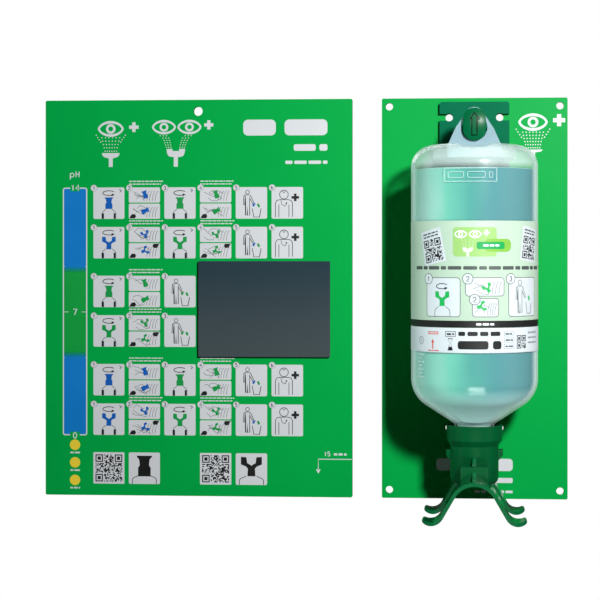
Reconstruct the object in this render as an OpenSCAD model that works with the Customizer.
// Wall-mounted eyewash station: an instruction board with a mirror, and a bottle board
// whose hook carries a one-litre bottle upside down, with a twist cap and twin eyecups.
// Origin: centre of the bottle board's back face. +X right, +Z up, the front faces -Y.

/* [Boards] */
// Height of both wall boards
board_h = 294; // [280:1:330]
// Width of the bottle board
bottle_board_w = 136; // [120:1:170]
// Width of the instruction board
info_board_w = 229.5; // [200:0.5:280]
// Gap between the two boards
board_gap = 21.8; // [5:0.1:60]
// Thickness of both boards
board_t = 3; // [2:0.1:5]
// Corner radius of both boards
board_corner_r = 1.2; // [0.5:0.1:4]
// Thickness of the printed films
film_t = 0.25; // [0.15:0.05:0.5]

/* [Screw holes] */
// Diameter of the bottle board's screw holes
screw_hole_d = 5.4; // [4:0.1:6]
// Distance from the side edges to the corner holes
corner_hole_side = 5.5; // [4.5:0.1:10]
// Distance from the top and bottom edges to the corner holes
corner_hole_end = 6; // [4.5:0.1:12]
// Spacing of the inner holes
inner_hole_spacing = 37; // [30:0.5:40]
// Distance from the top edge to the upper inner holes
inner_hole_top = 14.4; // [12:0.1:18]
// Distance from the bottom edge to the lower inner holes
inner_hole_bottom = 51.9; // [30:0.1:70]
// Diameter of the instruction board's hanging hole
info_hole_d = 6.7; // [4:0.1:8]
// Distance from the top edge to the hanging hole
info_hole_top = 8.5; // [6:0.1:12]

/* [Mirror] */
// Width of the mirror
mirror_w = 98.1; // [60:0.1:120]
// Height of the mirror
mirror_h = 70.9; // [40:0.1:90]
// Thickness of the mirror
mirror_t = 2; // [1:0.1:4]
// Distance from the board's right edge to the mirror
mirror_side = 16.2; // [5:0.1:40]
// Distance from the board's top edge to the mirror
mirror_top = 119.7; // [80:0.1:140]
// Thickness of the adhesive pads
tape_t = 0.8; // [0.4:0.1:1.5]

/* [Hook bracket] */
// Width of the bracket plate
plate_w = 51; // [46:0.5:60]
// Height of the bracket plate
plate_h = 60; // [55:1:70]
// Thickness of the bracket plate
plate_t = 4; // [3:0.1:5]
// Distance from the board's top edge to the plate
plate_top = 3.1; // [1:0.1:6]
// Height of the side slots in the plate
slot_h = 4.9; // [4:0.1:5.4]
// Distance from the board's top edge to the top of the peg
peg_top = 14.8; // [13:0.1:18]
// Width of the peg that carries the tab
peg_w = 7.4; // [6:0.1:7.4]
// Height of the peg
peg_h = 13.7; // [11:0.1:14]
// Width of the button on the peg's end
button_w = 16.1; // [12:0.1:17]
// Height of the button
button_h = 23; // [20:0.1:23]
// Depth of the button at its middle
button_t = 4; // [3:0.1:5]
// Diameter of the rivet shanks
rivet_d = 3.8; // [3:0.1:4.5]

/* [Hanger tab] */
// Thickness of the tab
tab_t = 2.4; // [2:0.1:3]
// Width of the tab's foot
tab_w = 38; // [30:0.5:44]
// Radius of the tab's top
tab_top_r = 6.9; // [6:0.1:8]
// Height from the tab's film hinge to the top of its hole
tab_rise = 31.4; // [30:0.1:36]
// Width of the tab's hole
tab_hole_w = 18; // [16:0.1:18]

/* [Bottle] */
// Outer diameter of the bottle
bottle_d = 89; // [80:0.5:94]
// Distance of the bottle's axis from the wall
axis_depth = 55; // [54:0.1:70]
// Length of the bottle from its base rim to its shoulder
barrel_h = 163.3; // [140:0.1:180]
// Wall thickness of the bottle
bottle_wall = 1.2; // [0.8:0.1:1.6]
// Radius of the base corner
base_corner_r = 15; // [10:0.1:15]
// Radius of the recess in the base
recess_r = 28; // [24:0.1:28]
// Depth of the recess in the base
recess_depth = 9.1; // [7:0.1:10]
// Width of the notch in the base rim
notch_w = 17; // [17:0.1:24]
// Depth of the notch in the base rim
notch_depth = 2.6; // [1:0.1:4]
// Radius of the shoulder
shoulder_r = 22.5; // [16:0.1:26]
// Slope of the cone under the shoulder
cone_slope = 33; // [25:0.5:45]
// Outer diameter of the neck
neck_d = 27; // [24:0.5:28]
// Length of the neck
neck_len = 25; // [22:0.5:30]
// Wall thickness of the neck
neck_wall = 2; // [1.5:0.1:3]
// Height of the liquid above the shoulder
fill_h = 148.4; // [100:0.1:150]

/* [Labels] */
// Thickness of the labels
label_t = 0.2; // [0.1:0.05:0.4]
// Height of the product label
label_h = 72.8; // [50:0.1:90]
// Height of the lot label
lot_label_h = 17; // [10:0.1:17]
// Distance from the shoulder to the lot label
lot_label_lift = 19.8; // [5:0.1:30]

/* [Cap] */
// How far the twist collar stands out from the cap body
collar_step = 2.7; // [2:0.1:4]
// Height of the collar's straight wall
collar_h = 10.3; // [8:0.1:14]
// Gap between the neck and the cap's bore, which holds the threads
thread_gap = 2.1; // [1.8:0.1:3]
// Height of the cap body under the collar
cap_h = 28; // [28:0.1:34]
// Wall thickness of the cap body
cap_wall = 1.4; // [1.2:0.1:1.4]
// Radius of the cap body's lower edge
cap_corner_r = 6; // [3:0.1:8]
// Drop of the cap over one turn
thread_lead = 3; // [2:0.1:3]

/* [Eyecups] */
// Radius of the eyecup arch at the middle of its wall
arch_r = 16.5; // [14:0.1:18]
// Wall thickness of the eyecups
cup_t = 2.6; // [2:0.1:3]
// Slope of the eyecup's legs
leg_slope = 60; // [50:1:70]
// Length of the eyecup's legs
leg_len = 16.9; // [10:0.1:20]
// Radius of the curl at the end of each leg
curl_r = 8.5; // [6:0.1:10]
// Upward turn of the tips
tip_turn = 33; // [10:1:45]
// Depth of each eyecup along the wall-to-user direction
cup_depth = 23; // [18:0.5:23]
// Corner radius of the eyecups seen from above
cup_corner_r = 9; // [8:0.1:11]

/* [Hidden] */
$fn = 72;
eps = 0.01;
fit = 0.1;      // gap between pieces of one body that plug together
run_gap = 0.3;  // gap between pieces that move against each other

// Boards
board_top = board_h / 2;
info_x = -bottle_board_w / 2 - board_gap - info_board_w / 2;
front_y = -board_t - film_t;
corner_hole_x = bottle_board_w / 2 - corner_hole_side;
corner_hole_z = board_top - corner_hole_end;
inner_hole_x = inner_hole_spacing / 2;
inner_hole_z = [board_top - inner_hole_top, inner_hole_bottom - board_top];
mirror_x = info_x + info_board_w / 2 - mirror_side - mirror_w / 2;
mirror_z = board_top - mirror_top - mirror_h / 2;
tape_inset = 4;

// Hook
plate_front_y = front_y - plate_t;
plate_z = board_top - plate_top - plate_h / 2;
plate_corner_r = 2;
slot_end_gap = 0.2;   // how much the slot's round end is wider than the screw hole
peg_top_z = board_top - peg_top;
peg_z = peg_top_z - peg_h / 2;
axis_y = -axis_depth;
button_play = 1.4;    // play of the tab behind the button
button_back_y = axis_y - tab_t / 2 - button_play;
button_rise = 2.9;    // how far the button stands above the peg
button_z = peg_top_z + button_rise - button_h / 2;
dome_r = 28.8;
arrow_depth = 0.8;
spigot = [4, 8, 6];
gusset_t = 3;
gusset_reach = 17;
rivet_x = 15;
rivet_z = plate_z - plate_h / 2 + 8;
rivet_head_d = 8;
rivet_head_t = 1.6;
rivet_flange_d = 7.2;
rivet_flange_t = 1;

// Hanger tab and bottle
tab_hole_top_z = peg_top_z + run_gap;
tab_web = 3.3;        // height of the tab above its hole
tab_top_z = tab_hole_top_z + tab_web - tab_top_r;
tab_eye_r = peg_w / 2 + run_gap;
lift_travel = 5;      // how far the bottle lifts on the peg
lift_play = 1.3;      // room left under the peg at the top of the lift
hinge_z = tab_hole_top_z - tab_rise;
hinge_gap = 0.4;
floor_z = hinge_z - tab_t / 2 - hinge_gap;
rim_z = floor_z + recess_depth;
tab_slopes = [33, 25.5];   // lean of the tab's sides from the vertical, upper and lower part
tab_knee_lift = 2;
tab_knee_z = (tab_top_z + rim_z) / 2 + tab_knee_lift;
bottle_r = bottle_d / 2;
base_land = 1.5;      // least width of the rim between the recess and the base corner
rim_corner_r = min(base_corner_r, bottle_r - recess_r - base_land);
shoulder_z = rim_z - barrel_h;
neck_r = neck_d / 2;
shoulder_end = [bottle_r - shoulder_r * (1 - sin(cone_slope)),
                shoulder_z - shoulder_r * cos(cone_slope)];
neck_root_z = shoulder_end[1] - (shoulder_end[0] - neck_r) * tan(cone_slope);
mouth_z = neck_root_z - neck_len;
neck_bore_r = neck_r - neck_wall;
bead_r = 0.9;
bead_pitch = 3;
level_z = shoulder_z + fill_h;
insert_h = 8;
orifice_r = 3.3;
liquid_gap = 0.1;
label_gap = 0.05;
lot_label_z = shoulder_z + lot_label_lift;
label_z = lot_label_z + lot_label_h + fit;

// Seal ring
seal_section_r = 1;
seal_r = neck_r + 0.7;
seal_z = mouth_z + 3.5;
seal_groove_r = seal_r - seal_section_r - run_gap;
seal_groove_h = 2 * (seal_section_r + run_gap);

// Cap
cap_bore_r = neck_r + thread_gap;
cap_r = cap_bore_r + cap_wall;
collar_r = cap_r + collar_step;
collar_top_z = neck_root_z - 0.4;
collar_edge_z = collar_top_z - collar_h;
cap_top_z = collar_edge_z - 4;
cap_bottom_z = cap_top_z - cap_h;
collar_lip = 1.5;
snap_h = 3;
snap_t = 0.8;
floor_t = 3;
chamber_r = cap_bore_r - 3;
chamber_top_z = mouth_z - thread_lead;
pin_r = orifice_r - run_gap;
pin_reach = 2;
lug_reach = 3;
lug_w = 7;
lug_drop = [8.3, 3.1];   // bottom and top of the lugs under the collar
lug_z = [cap_top_z - lug_drop[0], cap_top_z - lug_drop[1]];
port_d = 6;
port_bore_d = 3.6;
port_drop = 17.5;
port_z = cap_top_z - port_drop;
port_len = 2.5;

// Eyecups: profile in the X-Z plane, on one side of the middle
cup_overlap = 1;
cup_rise = 6.1;       // top of the arch above the bottom of the cap body
cup_in = cap_r - cup_overlap;
cup_out = cup_in + cup_depth;
cup_top_z = cap_bottom_z + cup_rise;
arch_z = cup_top_z - cup_t / 2 - arch_r;
leg_top = [arch_r * sin(leg_slope), arch_z + arch_r * cos(leg_slope)];
leg_end = leg_top + leg_len * [cos(leg_slope), -sin(leg_slope)];
curl_c = leg_end + curl_r * [sin(leg_slope), cos(leg_slope)];
tip_a = tip_turn - 90;
tip_c = curl_c + curl_r * [cos(tip_a), sin(tip_a)];
cup_half_w = tip_c[0] + cup_t / 2;
rib_t = 2.8;
rib_drop = 6.3;
rib_top_z = cap_top_z - rib_drop;
duct_w = 19;
duct_reach = 11.5;
duct_out = cap_r + duct_reach;
duct_top_z = port_z + port_d / 2 + 2;
rose_y = duct_out - 4;
rose_d = 7.8;
rose_t = 2.4;
rose_hole_d = 0.9;
rose_ring_r = 2.4;

function arc(c, r, from, to, n) =
    [for (i = [0:n]) c + r * [cos(from + (to - from) * i / n), sin(from + (to - from) * i / n)]];
function flip(points) = [for (i = [len(points) - 1:-1:0]) [-points[i][0], points[i][1]]];

// Wall of the bottle from the shoulder to the neck, moved inward by an inset
function lower_wall(inset, neck_radius) =
    let (wall = arc([bottle_r - shoulder_r, shoulder_z], shoulder_r - inset, 0, cone_slope - 90, 10),
         end = wall[10])
    concat(wall, [[neck_radius, end[1] - (end[0] - neck_radius) * tan(cone_slope)]]);

// Whole outline of the bottle with the recess in its base, moved inward by an inset
function bottle_outline(inset, neck_radius, end_z) = concat(
    [[0, floor_z - inset], [recess_r + inset - 1, floor_z - inset],
     [recess_r + inset, floor_z - inset + 1], [recess_r + inset, rim_z - inset]],
    arc([bottle_r - rim_corner_r, rim_z - rim_corner_r], rim_corner_r - inset, 90, 0, 8),
    lower_wall(inset, neck_radius),
    [[neck_radius, end_z], [0, end_z]]);

// Band of the eyecup in the X-Z plane
half_band = concat(
    arc([0, arch_z], arch_r + cup_t / 2, 90, 90 - leg_slope, 8),
    arc(curl_c, curl_r - cup_t / 2, 270 - leg_slope, 360 + tip_a, 10),
    arc(tip_c, cup_t / 2, tip_a + 180, tip_a, 6),
    arc(curl_c, curl_r + cup_t / 2, 360 + tip_a, 270 - leg_slope, 10),
    arc([0, arch_z], arch_r - cup_t / 2, 90 - leg_slope, 90, 8));

// A flat outline in the X-Z plane, extruded towards the front from y_back
module upright(y_back, thickness)
    translate([0, y_back, 0]) rotate([90, 0, 0]) linear_extrude(thickness) children();

module rounded(w, h, r) {
    square([w - 2 * r, h], center = true);
    square([w, h - 2 * r], center = true);
    for (x = [-1, 1], y = [-1, 1]) translate([x * (w / 2 - r), y * (h / 2 - r)]) circle(r);
}

module stadium(w, h) {
    square([w, h - w], center = true);
    for (y = [-1, 1]) translate([0, y * (h - w) / 2]) circle(w / 2);
}

// A round hole along Y through everything between the wall and y_front
module hole(x, z, d, y_front)
    translate([x, 1, z]) rotate([90, 0, 0]) cylinder(h = 1 - y_front, d = d);

module screw_holes(d) {
    for (x = [-1, 1], z = [-1, 1]) hole(x * corner_hole_x, z * corner_hole_z, d, front_y - 1);
    for (x = [-1, 1], z = inner_hole_z) hole(x * inner_hole_x, z, d, front_y - 1);
}

module about_axis() translate([0, axis_y, 0]) children();

module info_board() color([0, 0.6, 0.24]) difference() {
    translate([info_x, 0, 0]) upright(0, board_t) rounded(info_board_w, board_h, board_corner_r);
    hole(info_x, board_top - info_hole_top, info_hole_d, front_y - 1);
}

module info_print_film() color([0.1, 0.65, 0.3]) difference() {
    translate([info_x, 0, 0]) upright(-board_t, film_t) rounded(info_board_w, board_h, board_corner_r);
    hole(info_x, board_top - info_hole_top, info_hole_d + fit, front_y - 1);
}

module mirror_tape() color("white")
    translate([mirror_x, 0, mirror_z]) upright(front_y, tape_t)
        square([mirror_w - 2 * tape_inset, mirror_h - 2 * tape_inset], center = true);

module mirror() color([0.25, 0.32, 0.36])
    translate([mirror_x, 0, mirror_z]) upright(front_y - tape_t, mirror_t)
        rounded(mirror_w, mirror_h, 0.8);

module bottle_board() color([0, 0.65, 0.28]) difference() {
    upright(0, board_t) rounded(bottle_board_w, board_h, board_corner_r);
    screw_holes(screw_hole_d);
    for (x = [-1, 1]) {
        hole(x * rivet_x, rivet_z, rivet_d + fit, front_y - 1);
        hole(x * rivet_x, rivet_z, rivet_flange_d + 2 * fit, -rivet_flange_t - fit);
    }
}

module bottle_print_film() color([0.05, 0.7, 0.35]) difference() {
    upright(-board_t, film_t) rounded(bottle_board_w, board_h, board_corner_r);
    screw_holes(screw_hole_d + fit);
    for (x = [-1, 1]) hole(x * rivet_x, rivet_z, rivet_d + 2 * fit, front_y - 1);
}

// Gussets that brace the peg: above, below and at both sides
module gussets() {
    y0 = plate_front_y + eps;
    y1 = plate_front_y - gusset_reach;
    translate([-gusset_t / 2, 0, 0]) rotate([90, 0, 90]) linear_extrude(gusset_t) {
        polygon([[y0, peg_top_z - 2], [y0, peg_top_z + 8], [y1, peg_top_z - 2]]);
        polygon([[y0, peg_z - peg_h / 2 + 2], [y0, peg_z - peg_h / 2 - 11],
                 [y1, peg_z - peg_h / 2 + 2]]);
    }
    for (x = [-1, 1]) translate([0, 0, peg_z - gusset_t / 2]) linear_extrude(gusset_t)
        polygon([[0, y0], [x * (peg_w / 2 + 9), y0], [x * peg_w / 2, y1], [0, y1]]);
}

module hook_bracket() color([0, 0.5, 0.33]) difference() {
    union() {
        translate([0, 0, plate_z]) upright(front_y, plate_t) rounded(plate_w, plate_h, plate_corner_r);
        translate([0, 0, peg_z]) upright(plate_front_y + eps, plate_front_y - button_back_y + eps)
            stadium(peg_w, peg_h);
        gussets();
    }
    for (x = [-1, 1]) {
        hole(x * inner_hole_x, inner_hole_z[0], screw_hole_d + 2 * slot_end_gap, plate_front_y - 1);
        translate([x * plate_w / 2, front_y - plate_t / 2, inner_hole_z[0]])
            cube([plate_w - 2 * inner_hole_x, plate_t + 2, slot_h], center = true);
        hole(x * rivet_x, rivet_z, rivet_d + fit, plate_front_y - 1);
    }
    translate([0, button_back_y + spigot[2] / 2, peg_z])
        cube([spigot[0] + 2 * fit, spigot[2] + 2 * fit, spigot[1] + 2 * fit], center = true);
}

// Upward arrow, its middle at the origin
module arrow_outline() polygon([[-2.2, -8.3], [2.2, -8.3], [2.2, 3.4], [3.7, 3.4],
                                [0, 8.4], [-3.7, 3.4], [-2.2, 3.4]]);

module hook_button() color([0, 0.5, 0.33]) {
    difference() {
        intersection() {
            translate([0, 0, button_z]) upright(button_back_y, button_t) stadium(button_w, button_h);
            translate([0, button_back_y - button_t + dome_r, button_z]) sphere(dome_r, $fn = 96);
        }
        translate([0, 0, button_z]) upright(button_back_y - button_t + arrow_depth, 4) arrow_outline();
    }
    translate([0, button_back_y + spigot[2] / 2 - eps, peg_z])
        cube([spigot[0], spigot[2], spigot[1]], center = true);
}

module bracket_rivets() color([0.05, 0.4, 0.25])
    for (x = [-1, 1]) translate([x * rivet_x, 0, rivet_z]) rotate([90, 0, 0]) {
        cylinder(h = rivet_flange_t, d = rivet_flange_d);
        cylinder(h = -plate_front_y + eps, d = rivet_d);
        translate([0, 0, -plate_front_y]) intersection() {
            cylinder(h = rivet_head_t, d = rivet_head_d);
            translate([0, 0, rivet_head_t - rivet_head_d]) sphere(rivet_head_d);
        }
    }

// Side of the tab: tangent to its round top, then a knee, then the foot
tab_shoulder = [tab_top_r * cos(tab_slopes[0]), tab_top_z + tab_top_r * sin(tab_slopes[0])];
tab_side = [
    tab_shoulder,
    [tab_shoulder[0] + (tab_shoulder[1] - tab_knee_z) * tan(tab_slopes[0]), tab_knee_z],
    [tab_w / 2, rim_z], [tab_w / 2, hinge_z]];

// Egg-shaped eye of the tab: a wide lower circle and a narrow upper one, joined by tangents
eye_top = tab_hole_top_z - tab_eye_r;
eye_r = tab_hole_w / 2;
eye_bottom = peg_top_z - peg_h - lift_travel - lift_play + eye_r;
eye_a = asin((eye_r - tab_eye_r) / (eye_top - eye_bottom));
module tab_eye() {
    translate([0, eye_top]) circle(tab_eye_r);
    translate([0, eye_bottom]) circle(eye_r);
    side = [[eye_r * cos(eye_a), eye_bottom + eye_r * sin(eye_a)],
            [tab_eye_r * cos(eye_a), eye_top + tab_eye_r * sin(eye_a)]];
    polygon(concat(side, flip(side)));
}

module hanger_tab() color([0.7, 0.83, 0.88, 0.7]) about_axis() {
    upright(tab_t / 2, tab_t) difference() {
        union() {
            polygon(concat(tab_side, flip(tab_side)));
            translate([0, tab_top_z]) circle(tab_top_r);
        }
        tab_eye();
    }
    translate([-tab_w / 2, 0, hinge_z]) rotate([0, 90, 0]) cylinder(h = tab_w, d = tab_t);
}

// Notch in the front of the base rim, widened by a margin
module rim_notch(margin)
    translate([-notch_w / 2 - margin, -bottle_r, rim_z - notch_depth - margin])
        cube([notch_w + 2 * margin, bottle_r - recess_r / 2, rim_corner_r]);

module bottle_shell() color([0.78, 0.9, 0.9, 0.5]) about_axis() difference() {
    union() {
        difference() {
            rotate_extrude() polygon(bottle_outline(0, neck_r, mouth_z));
            rim_notch(0);
        }
        for (i = [0:2]) translate([0, 0, neck_root_z - 5 - i * bead_pitch])
            rotate_extrude() translate([neck_r, 0]) circle(bead_r, $fn = 16);
    }
    difference() {
        rotate_extrude() polygon(bottle_outline(bottle_wall, neck_bore_r, mouth_z - 1));
        rim_notch(bottle_wall);
    }
    translate([0, 0, seal_z - seal_groove_h / 2]) difference() {
        cylinder(h = seal_groove_h, r = neck_r + 2);
        translate([0, 0, -1]) cylinder(h = seal_groove_h + 2, r = seal_groove_r);
    }
}

module saline_solution() color([0.3, 0.72, 0.7, 0.6]) about_axis()
    rotate_extrude() polygon(concat(
        [[0, level_z], [bottle_r - bottle_wall - liquid_gap, level_z]],
        lower_wall(bottle_wall + liquid_gap, neck_bore_r - liquid_gap),
        [[neck_bore_r - liquid_gap, mouth_z + insert_h + fit], [0, mouth_z + insert_h + fit]]));

// Flow plug in the neck: a skirt and a floor with the outlet orifice
module neck_insert() color("white") about_axis() rotate_extrude() polygon([
    [orifice_r, mouth_z], [neck_bore_r - fit, mouth_z], [neck_bore_r - fit, mouth_z + insert_h],
    [neck_bore_r - 1.5, mouth_z + insert_h], [neck_bore_r - 2, mouth_z + 2],
    [orifice_r, mouth_z + 2]]);

// A band around the bottle
module wrap(z, h) about_axis() translate([0, 0, z]) difference() {
    cylinder(h = h, r = bottle_r + label_gap + label_t);
    translate([0, 0, -1]) cylinder(h = h + 2, r = bottle_r + label_gap);
}
module product_label() color([0.8, 0.9, 0.8]) wrap(label_z, label_h);
module lot_label() color([0.93, 0.95, 0.95]) wrap(lot_label_z, lot_label_h);

module seal_ring() color([0.1, 0.1, 0.1]) about_axis() translate([0, 0, seal_z])
    rotate_extrude() translate([seal_r, 0]) circle(seal_section_r, $fn = 24);

// The collar snaps over a thin ring on the cap body
module twist_collar() color([0, 0.32, 0.17]) about_axis() rotate_extrude() polygon([
    [collar_r, collar_top_z], [collar_r, collar_edge_z], [cap_r, cap_top_z],
    [cap_bore_r + snap_t + fit, cap_top_z], [cap_bore_r + snap_t + fit, cap_top_z + snap_h + fit],
    [cap_bore_r, cap_top_z + snap_h + fit], [cap_bore_r, collar_edge_z + 1],
    [collar_r - collar_lip, collar_top_z - 1], [collar_r - collar_lip, collar_top_z]]);

module lugs() for (x = [-1, 1]) intersection() {
    rotate([90, 0, 0]) translate([0, 0, -lug_w / 2]) linear_extrude(lug_w) polygon([
        [x * (cap_r - 1), lug_z[0] - 2], [x * (cap_r + 0.2), lug_z[0] - 2],
        [x * (cap_r + lug_reach), lug_z[0] + 1.2], [x * (cap_r + lug_reach), lug_z[1]],
        [x * (cap_r - 1), lug_z[1]]]);
    translate([0, 0, cap_bottom_z]) cylinder(h = cap_h, r = cap_r + lug_reach);
}

module cap_housing() color([0, 0.32, 0.17]) about_axis() difference() {
    union() {
        rotate_extrude() polygon(concat(
            [[0, cap_top_z], [cap_r, cap_top_z]],
            arc([cap_r - cap_corner_r, cap_bottom_z + cap_corner_r], cap_corner_r, 0, -90, 6),
            [[0, cap_bottom_z]]));
        translate([0, 0, cap_top_z - eps]) cylinder(h = snap_h + eps, r = cap_bore_r + snap_t);
        lugs();
    }
    difference() {
        rotate_extrude() polygon([
            [0, cap_top_z + snap_h + 1], [cap_bore_r, cap_top_z + snap_h + 1],
            [cap_bore_r, chamber_top_z - 0.6], [chamber_r, chamber_top_z - 2.6],
            [chamber_r, cap_bottom_z + floor_t + 2], [chamber_r - 2, cap_bottom_z + floor_t],
            [0, cap_bottom_z + floor_t]]);
        translate([0, 0, cap_bottom_z]) cylinder(h = mouth_z + pin_reach - cap_bottom_z, r = pin_r);
    }
    for (side = [-1, 1]) rotate([side * 90, 0, 0]) translate([0, side * port_z, chamber_r - 2])
        cylinder(h = cap_r, d = port_d + 2 * fit);
}

// Outer limits of one eyecup seen from above, rounded at the corners
module cup_plan()
    translate([0, -(cup_in + cup_out) / 2]) rounded(2 * cup_half_w, cup_depth, cup_corner_r);

module eyecup_body() {
    duct_z = cup_top_z - cup_t / 2;
    difference() {
        union() {
            intersection() {
                upright(-cup_in, cup_depth) polygon(concat(half_band, flip(half_band)));
                translate([0, 0, tip_c[1] - 2 * curl_r]) linear_extrude(4 * arch_r + 4 * curl_r) cup_plan();
            }
            translate([-duct_w / 2, -duct_out, duct_z - 2.5])
                cube([duct_w, duct_out - cap_r / 2, duct_top_z - duct_z + 2.5]);
            translate([rib_t / 2, 0, 0]) rotate([90, 0, -90]) linear_extrude(rib_t) polygon([
                [cup_in, rib_top_z], [cap_r + 1.5, rib_top_z - 1], [cup_out - 2, duct_z], [cup_in, duct_z]]);
        }
        translate([0, 0, cap_bottom_z - 1]) cylinder(h = cap_h + 2, r = cap_r + fit);
        translate([0, 0, arch_z]) rotate([90, 0, 0]) cylinder(h = cup_out + 1, r = arch_r - cup_t / 2);
    }
    translate([0, -cap_r - fit - 1, port_z]) rotate([-90, 0, 0]) cylinder(h = port_len + 1, d = port_d);
}

// One eyecup with its rib, feed duct and spigot, facing the user
module eyecup() difference() {
    eyecup_body();
    translate([0, -cap_r + port_len + 1, port_z]) rotate([90, 0, 0])
        cylinder(h = rose_y - cap_r + port_len + 1 + port_bore_d / 2, d = port_bore_d);
    translate([0, -rose_y, cup_top_z - cup_t - 1]) cylinder(h = port_z - cup_top_z + cup_t + 1, d = port_bore_d);
    translate([0, -rose_y, cup_top_z - cup_t - 1]) cylinder(h = rose_t + 1 + fit, d = rose_d + 2 * fit);
}

module spray_rose() translate([0, -rose_y, cup_top_z - cup_t]) difference() {
    cylinder(h = rose_t, d = rose_d);
    translate([0, 0, -1]) cylinder(h = rose_t + 2, d = rose_hole_d, $fn = 16);
    for (i = [0:5]) rotate(60 * i) translate([rose_ring_r, 0, -1])
        cylinder(h = rose_t + 2, d = rose_hole_d, $fn = 16);
}

module eyecup_front() color([0, 0.42, 0.24]) about_axis() eyecup();
module eyecup_rear() color([0, 0.42, 0.24]) about_axis() rotate(180) eyecup();
module spray_rose_front() color([0.05, 0.3, 0.18]) about_axis() spray_rose();
module spray_rose_rear() color([0.05, 0.3, 0.18]) about_axis() rotate(180) spray_rose();

info_board();
info_print_film();
mirror_tape();
mirror();
bottle_board();
bottle_print_film();
hook_bracket();
hook_button();
bracket_rivets();
hanger_tab();
bottle_shell();
saline_solution();
neck_insert();
product_label();
lot_label();
seal_ring();
twist_collar();
cap_housing();
eyecup_front();
eyecup_rear();
spray_rose_front();
spray_rose_rear();
